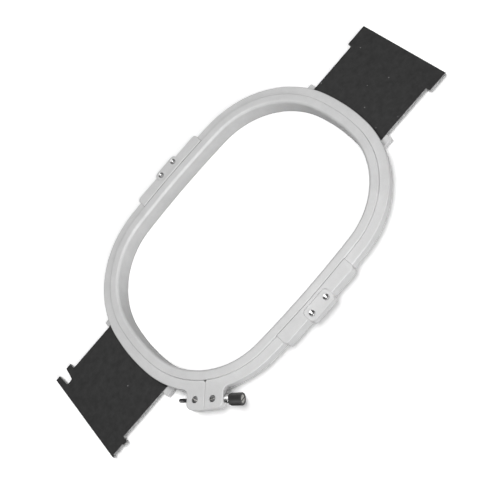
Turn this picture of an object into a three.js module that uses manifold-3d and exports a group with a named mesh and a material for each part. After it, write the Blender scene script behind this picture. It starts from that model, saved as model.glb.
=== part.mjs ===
// Oval machine embroidery hoop: an inner ring gripped inside a split outer ring, with two arms
// that carry it on the machine. Millimetres, +Z up. The ring's centre is on X = 0, Y = 0, the
// long axis lies along X, and the underside of the inner ring is at Z = 0.
import * as THREE from 'three';
import { mergeVertices } from 'three/addons/utils/BufferGeometryUtils.js';
import Module from 'manifold-3d';

const wasm = await Module();
wasm.setup();

// plan of the seam between the two rings: four corner arcs, joined by slightly bowed sides
const CORNER_CENTRE_X = 58.9;
const CORNER_CENTRE_Y = 15.4;
const CORNER_RADIUS = 96.5;
const SIDE_BOW = 1.7;
const END_BOW = 1.1;

// clearances
const HOOP_GAP = 0.4;          // between the rings
const FIT_GAP = 0.3;           // round a pin, a screw or an inset plate

// rings
const INNER_WALL = 9.7;
const INNER_HEIGHT = 20;
const INNER_ROUND = 3;         // top inner edge
const INNER_OUTER_ROUND = 1.6; // top outer edge
const INNER_FOOT_CHAMFER = 0.8;
const OUTER_WALL = 9.8;
const OUTER_BOTTOM = 7;
const OUTER_TOP = 18;
const OUTER_ROUND = 1.2;       // top outer edge
const OUTER_FOOT_CHAMFER = 0.8;
const OUTER_SEAM_CHAMFER = 0.5;

// raised bar on each long side, and the boss that carries the side plate
const BAR_HALF_LENGTH = 47.4;
const BAR_REACH = 2.9;         // beyond the outer wall, at the middle of the side
const BAR_RISE = 2;            // above the outer ring
const BAR_CORNER = 4;
const BAR_ROUND = 0.9;
const BAR_INSET = 0.15;        // its inner face, behind the seam
const BAR_END_ROUND = 1;       // its inner corners
const PLATE_HALF_LENGTH = 15.8;
const PLATE_DEPTH = 14.7;      // across the bar
const PLATE_REACH = 5.2;       // beyond the bar
const PLATE_THICKNESS = 2.2;
const PLATE_TOP = 18.4;
const PLATE_CORNER = 4.6;
const PLATE_EDGE = 0.4;
const BOSS_BOTTOM = 10;
const BOSS_EDGE = 0.5;
const PLATE_SCREW_SPACING = 19.5;
const PLATE_SCREW_INSET = 6.9; // from the plate's outer edge
const PLATE_SCREW_DIAMETER = 3;
const PLATE_SCREW_DEPTH = 5.2; // into the boss
const PLATE_HEAD_DIAMETER = 6;
const PLATE_HEAD_HEIGHT = 1.3;
const PLATE_HEAD_RIM = 0.7;
const PLATE_HEAD_DISH = 0.5;

// arms
const ARM_END = 248.1;
const ARM_THICKNESS = 3;
const ARM_HALF_WIDTH = 51.6;
const ARM_TUCK = 1;            // inner edge, outside the seam
const LEFT_FAR_SHOULDER = 23.6; // the shoulders, from the arm's end
const LEFT_NEAR_SHOULDER = 21.7;
const RIGHT_FAR_SHOULDER = 25.1;
const RIGHT_NEAR_SHOULDER = 22.9;
const SHOULDER_HALF_WIDTH = 56.6;
const FINGER_HALF_WIDTH = 58.6; // far fingers of the left arm
const TAB_HALF_WIDTH = 58.2;    // its near finger and tab
const NOTCH_MOUTH = 10.5;
const NOTCH_FLOOR = 7.7;
const NOTCH_LEAN = 0.55;       // of the floor, towards the arm's end
const NOTCH_DEPTH = 15.2;
const NOTCH_ROUND = 2.6;
const FAR_FINGER = 6;          // width of the finger between the notch and the arm's end
const NEAR_FINGER = 2.6;
const NEAR_TAB = 5;
const EDGE_ROUND = 0.45;       // plan corners of the arms
const ARM_EDGE = 0.25;         // worn edge of the sheet
const ARM_SCREW_PITCH = 28.6;
const ARM_SCREW_DIAMETER = 3.5;
const ARM_SCREW_DEPTH = 7.6;   // into the outer ring
const ARM_HEAD_DIAMETER = 6.6;
const ARM_HEAD_HEIGHT = 1.9;
const ARM_HEAD_EDGE = 0.5;
const ARM_SOCKET_WIDTH = 2.9;
const ARM_SOCKET_DEPTH = 1.2;
const SCREWS_PER_ARM = 4;

// lugs under the outer ring, one beside each edge of an arm
const LUG_WIDTH = 7.3;
const LUG_REACH = 10.6;        // beyond the end of the seam
const LUG_BOTTOM = 2.5;
const LUG_OVERLAP = 0.3;       // up into the outer ring
const LUG_ROUND = 1.4;
const LUG_EDGE = 0.4;
const LUG_INSET = 1;           // inner edge, outside the seam

// clamp: two ears at one corner, split between them, drawn together by a screw
const CLAMP_ANGLE = 225;       // degrees, direction in which the ears stand out
const SPLIT_SHIFT = 2.8;       // of the split, beside the centre of the corner arc
const SPLIT_GAP = 0.5;
const SPLIT_CHAMFER = 1.5;     // at the seam end of the split
const EAR_WIDTH = 19.35;
const EAR_REACH = 18.3;        // beyond the outer ring, with a tip that follows its curve
const EAR_CORNER = 6.5;
const EAR_FILLET = 5.5;
const EAR_ROUND = 0.8;
const EAR_FOOT_ROUND = 3;      // below, under the ears' rim
const EAR_FOOT_HEIGHT = 8;     // height over which the foot stands in
const SCREW_REACH = 8;         // of the screw's axis, beyond the outer ring
const SCREW_HEIGHT = 12.5;
const SCREW_DIAMETER = 4;
const SCREW_TILT = 1.7;        // degrees in plan, the knob's end further out
const SCREW_TAIL = 10.4;       // past the far ear
const SCREW_TIP_CHAMFER = 0.5;
const SCREW_HEAD_HEIGHT = 1;   // let into the knob's end
const SCREW_HEAD_CHAMFER = 0.3;
const SCREW_SLOT_WIDTH = 1.2;
const SCREW_SLOT_DEPTH = 0.6;
const SCREW_SLOT_TURN = 48;    // degrees from level, up towards its outer end
const BARREL_DIAMETER = 6.2;
const BARREL_HEIGHT = 8.6;
const BARREL_CHAMFER = 0.4;
const BARREL_SLOT_WIDTH = 0.9;
const BARREL_SLOT_DEPTH = 0.8;
const THREADED_BARREL_PLACE = 10.5; // from the split
const THREADED_BARREL_TURN = 26;    // degrees between its slot and the split's normal
const PLAIN_BARREL_PLACE = 8.3;
const PLAIN_BARREL_TURN = -18;
const COLLAR_NECK = 9;
const COLLAR_NECK_LENGTH = 2.3;
const COLLAR_DIAMETER = 10.8;
const COLLAR_LENGTH = 4.9;
const COLLAR_CHAMFER = 0.4;
const WASHER_DIAMETER = 11.2;
const WASHER_THICKNESS = 0.8;
const KNOB_DIAMETER = 12.1;
const KNOB_LENGTH = 12.2;
const KNOB_TEETH = 36;
const KNOB_TOOTH = 0.32;
const KNOB_CHAMFER = 0.7;
const KNOB_DISH_DIAMETER = 8.4; // recess for the screw's head
const KNOB_DISH_DEPTH = 1.5;

const ROUND_STEPS = 4;         // facets of a small quarter round
const EAR_TIP_STEPS = 8;       // facets across the tip of the ears
const ARC_STEPS = 16;          // facets of a corner arc of the ring

const lightPlastic = { color: 0xc9c9c8, roughness: 0.5, metalness: 0 };
const blackPlate = { color: 0x323232, roughness: 0.6, metalness: 0.3 };
const brightSteel = { color: 0xc2c2c2, roughness: 0.25, metalness: 1 };
const darkSteel = { color: 0x3a3a3a, roughness: 0.45, metalness: 1 };

const part = new THREE.Group();
const rad = THREE.MathUtils.degToRad;

// circles that bow the ends and the sides, tangent to the corner arcs
const seamEnd = CORNER_CENTRE_X + CORNER_RADIUS + END_BOW;
const seamSide = CORNER_CENTRE_Y + CORNER_RADIUS + SIDE_BOW;
const centreSquare = CORNER_CENTRE_X ** 2 + CORNER_CENTRE_Y ** 2;
const sideDrop = (centreSquare - (seamSide - CORNER_RADIUS) ** 2) / (2 * SIDE_BOW);
const endDrop = (centreSquare - (seamEnd - CORNER_RADIUS) ** 2) / (2 * END_BOW);
const endAngle = Math.atan2(CORNER_CENTRE_Y, CORNER_CENTRE_X + endDrop);
const sideAngle = Math.atan2(CORNER_CENTRE_Y + sideDrop, CORNER_CENTRE_X);

// one quarter of the seam as points with their outward normals
function quarterOutline() {
  const points = [];
  const arc = (cx, cy, radius, from, to, steps, skipFirst) => {
    for (let i = skipFirst ? 1 : 0; i <= steps; i += 1) {
      const a = from + ((to - from) * i) / steps;
      points.push([cx + radius * Math.cos(a), cy + radius * Math.sin(a), Math.cos(a), Math.sin(a)]);
    }
  };
  arc(-endDrop, 0, seamEnd + endDrop, 0, endAngle, 2, false);
  arc(CORNER_CENTRE_X, CORNER_CENTRE_Y, CORNER_RADIUS, endAngle, sideAngle, ARC_STEPS, true);
  arc(0, -sideDrop, seamSide + sideDrop, sideAngle, Math.PI / 2, 4, true);
  return points;
}

// the whole seam, anticlockwise
function seamLoop() {
  const quarter = quarterOutline();
  const back = quarter.slice(0, -1).reverse();
  return [
    ...quarter,
    ...back.map(([x, y, nx, ny]) => [-x, y, -nx, ny]),
    ...quarter.slice(1).map(([x, y, nx, ny]) => [-x, -y, -nx, -ny]),
    ...back.slice(0, -1).map(([x, y, nx, ny]) => [x, -y, nx, -ny]),
  ];
}

// X of the ring at a given Y, and Y at a given X, both at an offset from the seam
function ringX(y, offset) {
  const v = Math.abs(y);
  const radius = seamEnd + endDrop + offset;
  if (v <= radius * Math.sin(endAngle)) return Math.sqrt(radius ** 2 - v ** 2) - endDrop;
  return CORNER_CENTRE_X + Math.sqrt((CORNER_RADIUS + offset) ** 2 - (v - CORNER_CENTRE_Y) ** 2);
}

function ringY(x, offset) {
  const u = Math.abs(x);
  const radius = seamSide + sideDrop + offset;
  if (u <= radius * Math.cos(sideAngle)) return Math.sqrt(radius ** 2 - u ** 2) - sideDrop;
  return CORNER_CENTRE_Y + Math.sqrt((CORNER_RADIUS + offset) ** 2 - (u - CORNER_CENTRE_X) ** 2);
}

// ring swept from a closed profile of [offset from the seam, height], anticlockwise
function sweptRing(profile) {
  const loop = seamLoop();
  const vertices = [];
  const faces = [];
  const size = profile.length;
  loop.forEach(([x, y, nx, ny], i) => {
    const next = (i + 1) % loop.length;
    profile.forEach(([offset, z], j) => {
      const k = (j + 1) % size;
      vertices.push(x + nx * offset, y + ny * offset, z);
      faces.push(i * size + j, next * size + j, next * size + k);
      faces.push(i * size + j, next * size + k, i * size + k);
    });
  });
  const geometry = new THREE.BufferGeometry();
  geometry.setAttribute('position', new THREE.Float32BufferAttribute(vertices, 3));
  geometry.setIndex(faces);
  return geometry;
}

// points of a quarter round from angle to angle, in degrees
function roundPoints(cx, cy, radius, from, to, steps = ROUND_STEPS) {
  return Array.from({ length: steps + 1 }, (_, i) => {
    const a = rad(from + ((to - from) * i) / steps);
    return [cx + radius * Math.cos(a), cy + radius * Math.sin(a)];
  });
}

// closed outline from [x, y, radius] corners, each corner rounded by its own radius
function roundedShape(corners) {
  const shape = [];
  corners.forEach(([x, y, radius = 0], i) => {
    const [px, py] = corners[(i + corners.length - 1) % corners.length];
    const [qx, qy] = corners[(i + 1) % corners.length];
    if (!radius) {
      shape.push(new THREE.Vector2(x, y));
      return;
    }
    const here = new THREE.Vector2(x, y);
    const a = new THREE.Vector2(px - x, py - y);
    const b = new THREE.Vector2(qx - x, qy - y);
    const half = Math.acos(a.clone().normalize().dot(b.clone().normalize())) / 2;
    const reach = Math.min(radius / Math.tan(half), a.length() * 0.49, b.length() * 0.49);
    const r = reach * Math.tan(half);
    const u = a.normalize();
    const v = b.normalize();
    const centre = here.clone().addScaledVector(u.clone().add(v).normalize(), r / Math.sin(half));
    const start = here.clone().addScaledVector(u, reach).sub(centre);
    const end = here.clone().addScaledVector(v, reach).sub(centre);
    const from = start.angle();
    let sweep = end.angle() - from;
    if (sweep > Math.PI) sweep -= 2 * Math.PI;
    if (sweep < -Math.PI) sweep += 2 * Math.PI;
    for (let k = 0; k <= ROUND_STEPS; k += 1) {
      const t = from + (sweep * k) / ROUND_STEPS;
      shape.push(new THREE.Vector2(centre.x + r * Math.cos(t), centre.y + r * Math.sin(t)));
    }
  });
  return new THREE.Shape(shape);
}

// plate between two heights, with its edges eased by bevel
function slab(shape, bottom, top, bevel = 0) {
  const geometry = new THREE.ExtrudeGeometry(shape, {
    depth: top - bottom - 2 * bevel,
    bevelEnabled: bevel > 0,
    bevelSize: bevel,
    bevelThickness: bevel,
    bevelOffset: -bevel,
    bevelSegments: 2,
    curveSegments: 12,
  });
  geometry.translate(0, 0, bottom + bevel);
  return geometry;
}

function upright(diameter, bottom, top, x, y, sides = 24) {
  const geometry = new THREE.CylinderGeometry(diameter / 2, diameter / 2, top - bottom, sides);
  geometry.rotateX(Math.PI / 2);
  geometry.translate(x, y, (bottom + top) / 2);
  return geometry;
}

function solid(geometry) {
  const bare = geometry.clone();
  bare.deleteAttribute('normal');
  bare.deleteAttribute('uv');
  const merged = mergeVertices(bare, 1e-4);
  return new wasm.Manifold(new wasm.Mesh({
    numProp: 3,
    vertProperties: new Float32Array(merged.attributes.position.array),
    triVerts: new Uint32Array(merged.index.array),
  }));
}

function toGeometry(body) {
  const mesh = body.getMesh();
  const geometry = new THREE.BufferGeometry();
  geometry.setAttribute('position', new THREE.BufferAttribute(mesh.vertProperties, 3));
  geometry.setIndex(new THREE.BufferAttribute(mesh.triVerts, 1));
  return geometry;
}

function addPiece(name, geometry, look, parent = part) {
  const mesh = new THREE.Mesh(geometry, new THREE.MeshStandardMaterial(look));
  mesh.name = name;
  parent.add(mesh);
  return mesh;
}

// inner ring
const innerFace = -HOOP_GAP - INNER_WALL;
addPiece('inner_hoop', sweptRing([
  [innerFace + INNER_FOOT_CHAMFER, 0],
  [-HOOP_GAP - INNER_FOOT_CHAMFER, 0],
  [-HOOP_GAP, INNER_FOOT_CHAMFER],
  ...roundPoints(-HOOP_GAP - INNER_OUTER_ROUND, INNER_HEIGHT - INNER_OUTER_ROUND, INNER_OUTER_ROUND, 0, 90, 3),
  ...roundPoints(innerFace + INNER_ROUND, INNER_HEIGHT - INNER_ROUND, INNER_ROUND, 90, 180),
  [innerFace, INNER_FOOT_CHAMFER],
]), lightPlastic);

// clamp frame: X stands out from the corner arc's centre, Y runs along the screw
const clampTurn = rad(CLAMP_ANGLE);
const clampFrame = new THREE.Matrix4()
  .makeTranslation(-CORNER_CENTRE_X, -CORNER_CENTRE_Y, 0)
  .multiply(new THREE.Matrix4().makeRotationZ(clampTurn))
  .multiply(new THREE.Matrix4().makeTranslation(0, SPLIT_SHIFT, 0));
const inClamp = (geometry) => solid(geometry.applyMatrix4(clampFrame));
const outerFace = CORNER_RADIUS + OUTER_WALL;
const screwOut = outerFace + SCREW_REACH;
const earTip = outerFace + EAR_REACH;
const earEdge = SPLIT_GAP / 2 + EAR_WIDTH;
const barrels = [
  ['threaded_barrel', -THREADED_BARREL_PLACE, THREADED_BARREL_TURN],
  ['plain_barrel', PLAIN_BARREL_PLACE, PLAIN_BARREL_TURN],
];

// the screw and what turns with it stand at a slight angle to the ears
const screwTilt = rad(SCREW_TILT);
const screwFrame = new THREE.Matrix4()
  .makeTranslation(screwOut, 0, SCREW_HEIGHT)
  .multiply(new THREE.Matrix4().makeRotationZ(-screwTilt));

// both ears as one plan: fillets where they leave the ring, and a tip on an arc round the corner's centre
function earShape() {
  const fillet = (side) => {
    const across = side * (earEdge + EAR_FILLET) + SPLIT_SHIFT;
    const out = Math.sqrt((outerFace + EAR_FILLET) ** 2 - across ** 2);
    const touch = outerFace / (outerFace + EAR_FILLET);
    const start = Math.atan2(across * (touch - 1), out * (touch - 1));
    let sweep = (side > 0 ? -Math.PI / 2 : Math.PI / 2) - start;
    while (sweep > Math.PI) sweep -= 2 * Math.PI;
    while (sweep < -Math.PI) sweep += 2 * Math.PI;
    return Array.from({ length: ROUND_STEPS + 1 }, (_, i) => {
      const a = start + (sweep * i) / ROUND_STEPS;
      return [out + EAR_FILLET * Math.cos(a), across - SPLIT_SHIFT + EAR_FILLET * Math.sin(a)];
    });
  };
  // side of an ear, round its corner, to the tip
  const corner = (side) => {
    const across = side * (earEdge - EAR_CORNER) + SPLIT_SHIFT;
    const out = Math.sqrt((earTip - EAR_CORNER) ** 2 - across ** 2);
    const from = (side * Math.PI) / 2;
    const sweep = Math.atan2(across, out) - from;
    return Array.from({ length: ROUND_STEPS + 1 }, (_, i) => {
      const a = from + (sweep * i) / ROUND_STEPS;
      return [out + EAR_CORNER * Math.cos(a), across - SPLIT_SHIFT + EAR_CORNER * Math.sin(a)];
    });
  };
  const root = CORNER_RADIUS + EAR_ROUND;
  const low = fillet(-1);
  const high = fillet(1).reverse();
  const lowCorner = corner(-1);
  const highCorner = corner(1).reverse();
  const [lowOut, lowAcross] = lowCorner[ROUND_STEPS];
  const [highOut, highAcross] = highCorner[0];
  const lowAngle = Math.atan2(lowAcross + SPLIT_SHIFT, lowOut);
  const highAngle = Math.atan2(highAcross + SPLIT_SHIFT, highOut);
  const tip = Array.from({ length: EAR_TIP_STEPS - 1 }, (_, i) => {
    const a = lowAngle + ((highAngle - lowAngle) * (i + 1)) / EAR_TIP_STEPS;
    return [earTip * Math.cos(a), earTip * Math.sin(a) - SPLIT_SHIFT];
  });
  return roundedShape([
    [root, low[0][1]],
    ...low,
    ...lowCorner,
    ...tip,
    ...highCorner,
    ...high,
    [root, high[ROUND_STEPS][1]],
  ]);
}

// cylinder along the clamp's screw, and a body turned about it from [radius, distance along it],
// both in the screw's own frame
function along(diameter, from, to, sides = 24) {
  const geometry = new THREE.CylinderGeometry(diameter / 2, diameter / 2, to - from, sides);
  geometry.translate(0, (from + to) / 2, 0);
  return geometry;
}

function turned(profile, sides = 32) {
  return new THREE.LatheGeometry(profile.map(([radius, y]) => new THREE.Vector2(radius, y)), sides);
}

// body turned about an upright axis, from [radius, height]
function turnedUpright(profile, sides = 24) {
  const points = profile.map(([radius, z]) => new THREE.Vector2(radius, z));
  const geometry = new THREE.LatheGeometry(points, sides);
  geometry.rotateX(Math.PI / 2);
  return geometry;
}

// outer ring
let outer = solid(sweptRing([
  [OUTER_SEAM_CHAMFER, OUTER_BOTTOM],
  [OUTER_WALL - OUTER_FOOT_CHAMFER, OUTER_BOTTOM],
  [OUTER_WALL, OUTER_BOTTOM + OUTER_FOOT_CHAMFER],
  ...roundPoints(OUTER_WALL - OUTER_ROUND, OUTER_TOP - OUTER_ROUND, OUTER_ROUND, 0, 90, 3),
  [OUTER_SEAM_CHAMFER, OUTER_TOP],
  [0, OUTER_TOP - OUTER_SEAM_CHAMFER],
  [0, OUTER_BOTTOM + OUTER_SEAM_CHAMFER],
]));

const barTop = OUTER_TOP + BAR_RISE;
const barOuter = seamSide + OUTER_WALL + BAR_REACH;
const plateOuter = barOuter + PLATE_REACH;
const plateInner = plateOuter - PLATE_DEPTH;
const plateBottom = PLATE_TOP - PLATE_THICKNESS;
const plateScrewY = plateOuter - PLATE_SCREW_INSET;
const plateScrewX = PLATE_SCREW_SPACING / 2;

const barSteps = 12;
const barInnerEdge = Array.from({ length: barSteps + 1 }, (_, i) => {
  const x = BAR_HALF_LENGTH * ((2 * i) / barSteps - 1);
  return [x, ringY(x, BAR_INSET), i % barSteps ? 0 : BAR_END_ROUND];
});
const barShape = roundedShape([
  ...barInnerEdge,
  [BAR_HALF_LENGTH, barOuter, BAR_CORNER],
  [-BAR_HALF_LENGTH, barOuter, BAR_CORNER],
]);
const bossShape = roundedShape([
  [-PLATE_HALF_LENGTH, barOuter - BAR_REACH],
  [PLATE_HALF_LENGTH, barOuter - BAR_REACH],
  [PLATE_HALF_LENGTH, plateOuter, PLATE_CORNER],
  [-PLATE_HALF_LENGTH, plateOuter, PLATE_CORNER],
]);
const pocketHalf = PLATE_HALF_LENGTH + FIT_GAP;
const pocketShape = roundedShape([
  [-pocketHalf, plateInner - FIT_GAP, PLATE_CORNER + FIT_GAP],
  [pocketHalf, plateInner - FIT_GAP, PLATE_CORNER + FIT_GAP],
  [pocketHalf, plateOuter + PLATE_REACH],
  [-pocketHalf, plateOuter + PLATE_REACH],
]);
const screwHole = PLATE_SCREW_DIAMETER + 2 * FIT_GAP;
const screwHoleBottom = plateBottom - PLATE_SCREW_DEPTH - FIT_GAP;
for (const turn of [0, Math.PI]) {
  const place = (geometry) => solid(geometry.rotateZ(turn));
  outer = outer
    .add(place(slab(barShape, OUTER_BOTTOM, barTop, BAR_ROUND)))
    .add(place(slab(bossShape, BOSS_BOTTOM, barTop - BAR_ROUND, BOSS_EDGE)))
    .subtract(place(slab(pocketShape, plateBottom, barTop + BAR_RISE)));
  for (const x of [-plateScrewX, plateScrewX]) {
    outer = outer.subtract(place(upright(screwHole, screwHoleBottom, barTop, x, plateScrewY)));
  }
}

// lugs under the ring
const lugOuter = seamEnd + LUG_REACH;
const lugNear = ARM_HALF_WIDTH + FIT_GAP;
const lugFar = lugNear + LUG_WIDTH;
for (const sideX of [-1, 1]) {
  for (const sideY of [-1, 1]) {
    const lugShape = roundedShape([
      [sideX * ringX(lugNear, LUG_INSET), sideY * lugNear],
      [sideX * lugOuter, sideY * lugNear, LUG_ROUND],
      [sideX * lugOuter, sideY * lugFar, LUG_ROUND],
      [sideX * ringX(lugFar, LUG_INSET), sideY * lugFar],
    ]);
    outer = outer.add(solid(slab(lugShape, LUG_BOTTOM, OUTER_BOTTOM + LUG_OVERLAP, LUG_EDGE)));
  }
}

// clamp ears, their barrel holes, the screw's way through and the split
outer = outer
  .add(inClamp(slab(earShape(), OUTER_BOTTOM, OUTER_BOTTOM + EAR_FOOT_HEIGHT, EAR_FOOT_ROUND)))
  .add(inClamp(slab(earShape(), OUTER_BOTTOM + EAR_FOOT_ROUND, OUTER_TOP, EAR_ROUND)));
const throughHole = SCREW_DIAMETER + 2 * FIT_GAP;
const barrelBottom = SCREW_HEIGHT - BARREL_HEIGHT / 2;
const barrelHole = BARREL_DIAMETER + 2 * FIT_GAP;
for (const [, y] of barrels) {
  const hole = upright(barrelHole, barrelBottom - FIT_GAP, OUTER_TOP + BAR_RISE, screwOut, y);
  outer = outer.subtract(inClamp(hole));
}
const screwWay = along(throughHole, -earEdge - EAR_FILLET, earEdge + EAR_FILLET)
  .applyMatrix4(screwFrame);
outer = outer.subtract(inClamp(screwWay.clone()));
const splitLength = earTip - CORNER_RADIUS + 2 * EAR_CORNER;
const split = new THREE.BoxGeometry(splitLength, SPLIT_GAP, OUTER_TOP);
split.translate(CORNER_RADIUS - EAR_CORNER + splitLength / 2, 0, (OUTER_BOTTOM + OUTER_TOP) / 2);
outer = outer.subtract(inClamp(split));
const reliefHalf = SPLIT_CHAMFER + SPLIT_GAP / 2;
const relief = slab(roundedShape([
  [CORNER_RADIUS + reliefHalf, 0],
  [CORNER_RADIUS - reliefHalf, 2 * reliefHalf],
  [CORNER_RADIUS - reliefHalf, -2 * reliefHalf],
]), OUTER_BOTTOM - EAR_ROUND, OUTER_TOP + EAR_ROUND);
outer = outer.subtract(inClamp(relief));

// arm screws stand in the middle of the ring's wall
const armBottom = OUTER_BOTTOM - ARM_THICKNESS;
const armHole = ARM_SCREW_DIAMETER + 2 * FIT_GAP;
const armScrews = Array.from({ length: SCREWS_PER_ARM }, (_, i) => {
  const y = ARM_SCREW_PITCH * (i - (SCREWS_PER_ARM - 1) / 2);
  return [ringX(y, (ARM_TUCK + OUTER_WALL) / 2), y];
});
const armHoles = (side, bottom, top) => armScrews.map(([x, y]) => (
  solid(upright(armHole, bottom, top, side * x, y))
));
for (const side of [-1, 1]) {
  const bottom = OUTER_BOTTOM - LUG_OVERLAP;
  for (const hole of armHoles(side, bottom, OUTER_BOTTOM + ARM_SCREW_DEPTH + FIT_GAP)) {
    outer = outer.subtract(hole);
  }
}
addPiece('outer_hoop', toGeometry(outer), lightPlastic);

// arms: black sheet under the ring
const leftFar = ARM_END - LEFT_FAR_SHOULDER;
const leftNear = ARM_END - LEFT_NEAR_SHOULDER;
const rightFar = ARM_END - RIGHT_FAR_SHOULDER;
const rightNear = ARM_END - RIGHT_NEAR_SHOULDER;
const armInnerEdge = [-1, -0.75, -0.5, -0.25, 0, 0.25, 0.5, 0.75, 1].map((step) => {
  const y = step * ARM_HALF_WIDTH;
  return [ringX(y, ARM_TUCK), y];
});
const plainEnd = [
  [rightFar, ARM_HALF_WIDTH, EDGE_ROUND],
  [rightFar, SHOULDER_HALF_WIDTH, EDGE_ROUND],
  [ARM_END, SHOULDER_HALF_WIDTH, EDGE_ROUND],
  [ARM_END, -SHOULDER_HALF_WIDTH, EDGE_ROUND],
  [rightNear, -SHOULDER_HALF_WIDTH, EDGE_ROUND],
  [rightNear, -ARM_HALF_WIDTH, EDGE_ROUND],
];
const notchOut = ARM_END - FAR_FINGER;
const notchIn = notchOut - NOTCH_MOUTH;
const notchFloorY = FINGER_HALF_WIDTH - NOTCH_DEPTH;
const notchSlope = (NOTCH_MOUTH - NOTCH_FLOOR) / 2;
const notchedEnd = [
  [leftFar, ARM_HALF_WIDTH, EDGE_ROUND],
  [leftFar, FINGER_HALF_WIDTH, EDGE_ROUND],
  [notchIn, FINGER_HALF_WIDTH, EDGE_ROUND],
  [notchIn + notchSlope + NOTCH_LEAN, notchFloorY, NOTCH_ROUND],
  [notchOut - notchSlope + NOTCH_LEAN, notchFloorY, NOTCH_ROUND],
  [notchOut, FINGER_HALF_WIDTH, EDGE_ROUND],
  [ARM_END, FINGER_HALF_WIDTH, EDGE_ROUND],
  [ARM_END, -TAB_HALF_WIDTH, EDGE_ROUND],
  [ARM_END - NEAR_FINGER, -TAB_HALF_WIDTH, EDGE_ROUND],
  [ARM_END - NEAR_FINGER, -SHOULDER_HALF_WIDTH, EDGE_ROUND],
  [leftNear + NEAR_TAB, -SHOULDER_HALF_WIDTH, EDGE_ROUND],
  [leftNear + NEAR_TAB, -TAB_HALF_WIDTH, EDGE_ROUND],
  [leftNear, -TAB_HALF_WIDTH, EDGE_ROUND],
  [leftNear, -ARM_HALF_WIDTH, EDGE_ROUND],
];
const arms = [
  ['left_arm', -1, notchedEnd],
  ['right_arm', 1, plainEnd],
];
for (const [name, side, end] of arms) {
  const outline = [...armInnerEdge, ...end].map(([x, y, r]) => [side * x, y, r]);
  let plate = solid(slab(roundedShape(outline), armBottom, OUTER_BOTTOM, ARM_EDGE));
  for (const hole of armHoles(side, armBottom - ARM_THICKNESS, OUTER_BOTTOM + ARM_THICKNESS)) {
    plate = plate.subtract(hole);
  }
  addPiece(name, toGeometry(plate), blackPlate);
}

// arm screws, heads below, with a hexagon socket
const headBottom = armBottom - ARM_HEAD_HEIGHT;
const armScrew = solid(turnedUpright([
  [0, headBottom],
  [ARM_HEAD_DIAMETER / 2 - ARM_HEAD_EDGE, headBottom],
  [ARM_HEAD_DIAMETER / 2, headBottom + ARM_HEAD_EDGE],
  [ARM_HEAD_DIAMETER / 2, armBottom],
  [ARM_SCREW_DIAMETER / 2, armBottom],
  [ARM_SCREW_DIAMETER / 2, OUTER_BOTTOM + ARM_SCREW_DEPTH],
  [0, OUTER_BOTTOM + ARM_SCREW_DEPTH],
]));
const socketWidth = ARM_SOCKET_WIDTH / Math.cos(Math.PI / 6);
const socket = solid(upright(socketWidth, headBottom - ARM_SOCKET_DEPTH,
  headBottom + ARM_SOCKET_DEPTH, 0, 0, 6));
const armScrewGeometry = toGeometry(armScrew.subtract(socket));
for (const [name, side] of arms) {
  armScrews.forEach(([x, y], i) => {
    const mesh = addPiece(`${name}_screw_${i + 1}`, armScrewGeometry, darkSteel);
    mesh.position.set(side * x, y, 0);
  });
}

// side plates and their screws
const plateShape = roundedShape([
  [-PLATE_HALF_LENGTH, plateInner, PLATE_CORNER],
  [PLATE_HALF_LENGTH, plateInner, PLATE_CORNER],
  [PLATE_HALF_LENGTH, plateOuter, PLATE_CORNER],
  [-PLATE_HALF_LENGTH, plateOuter, PLATE_CORNER],
]);
let sidePlate = solid(slab(plateShape, plateBottom, PLATE_TOP, PLATE_EDGE));
for (const x of [-plateScrewX, plateScrewX]) {
  const hole = upright(screwHole, plateBottom - PLATE_THICKNESS, barTop, x, plateScrewY);
  sidePlate = sidePlate.subtract(solid(hole));
}
const plateScrewGeometry = turnedUpright([
  [0, plateBottom - PLATE_SCREW_DEPTH],
  [PLATE_SCREW_DIAMETER / 2, plateBottom - PLATE_SCREW_DEPTH],
  [PLATE_SCREW_DIAMETER / 2, PLATE_TOP],
  [PLATE_HEAD_DIAMETER / 2, PLATE_TOP],
  [PLATE_HEAD_DIAMETER / 2, PLATE_TOP + PLATE_HEAD_HEIGHT - PLATE_EDGE],
  [PLATE_HEAD_DIAMETER / 2 - PLATE_EDGE, PLATE_TOP + PLATE_HEAD_HEIGHT],
  [PLATE_HEAD_DIAMETER / 2 - PLATE_HEAD_RIM, PLATE_TOP + PLATE_HEAD_HEIGHT],
  [0, PLATE_TOP + PLATE_HEAD_HEIGHT - PLATE_HEAD_DISH],
]);
for (const [name, sideY] of [['rear_plate', 1], ['front_plate', -1]]) {
  const mesh = addPiece(name, toGeometry(sidePlate), lightPlastic);
  mesh.rotation.z = sideY > 0 ? 0 : Math.PI;
  for (const [end, sideX] of [['left', -1], ['right', 1]]) {
    const screw = addPiece(`${name}_screw_${end}`, plateScrewGeometry, brightSteel);
    screw.position.set(sideX * plateScrewX, sideY * plateScrewY, 0);
  }
}

// clamp hardware, laid out in the clamp's own frame
const clamp = new THREE.Group();
clamp.applyMatrix4(clampFrame);
part.add(clamp);

for (const [name, y, turn] of barrels) {
  const barrel = turnedUpright([
    [0, barrelBottom],
    [BARREL_DIAMETER / 2 - BARREL_CHAMFER, barrelBottom],
    [BARREL_DIAMETER / 2, barrelBottom + BARREL_CHAMFER],
    [BARREL_DIAMETER / 2, barrelBottom + BARREL_HEIGHT - BARREL_CHAMFER],
    [BARREL_DIAMETER / 2 - BARREL_CHAMFER, barrelBottom + BARREL_HEIGHT],
    [0, barrelBottom + BARREL_HEIGHT],
  ]);
  barrel.translate(screwOut, y, 0);
  const barrelSlot = new THREE.BoxGeometry(BARREL_SLOT_WIDTH, 2 * BARREL_DIAMETER, 2 * BARREL_SLOT_DEPTH);
  barrelSlot.rotateZ(-rad(turn));
  barrelSlot.translate(screwOut, y, barrelBottom + BARREL_HEIGHT);
  const body = solid(barrel).subtract(solid(screwWay)).subtract(solid(barrelSlot));
  addPiece(name, toGeometry(body), darkSteel, clamp);
}

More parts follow.
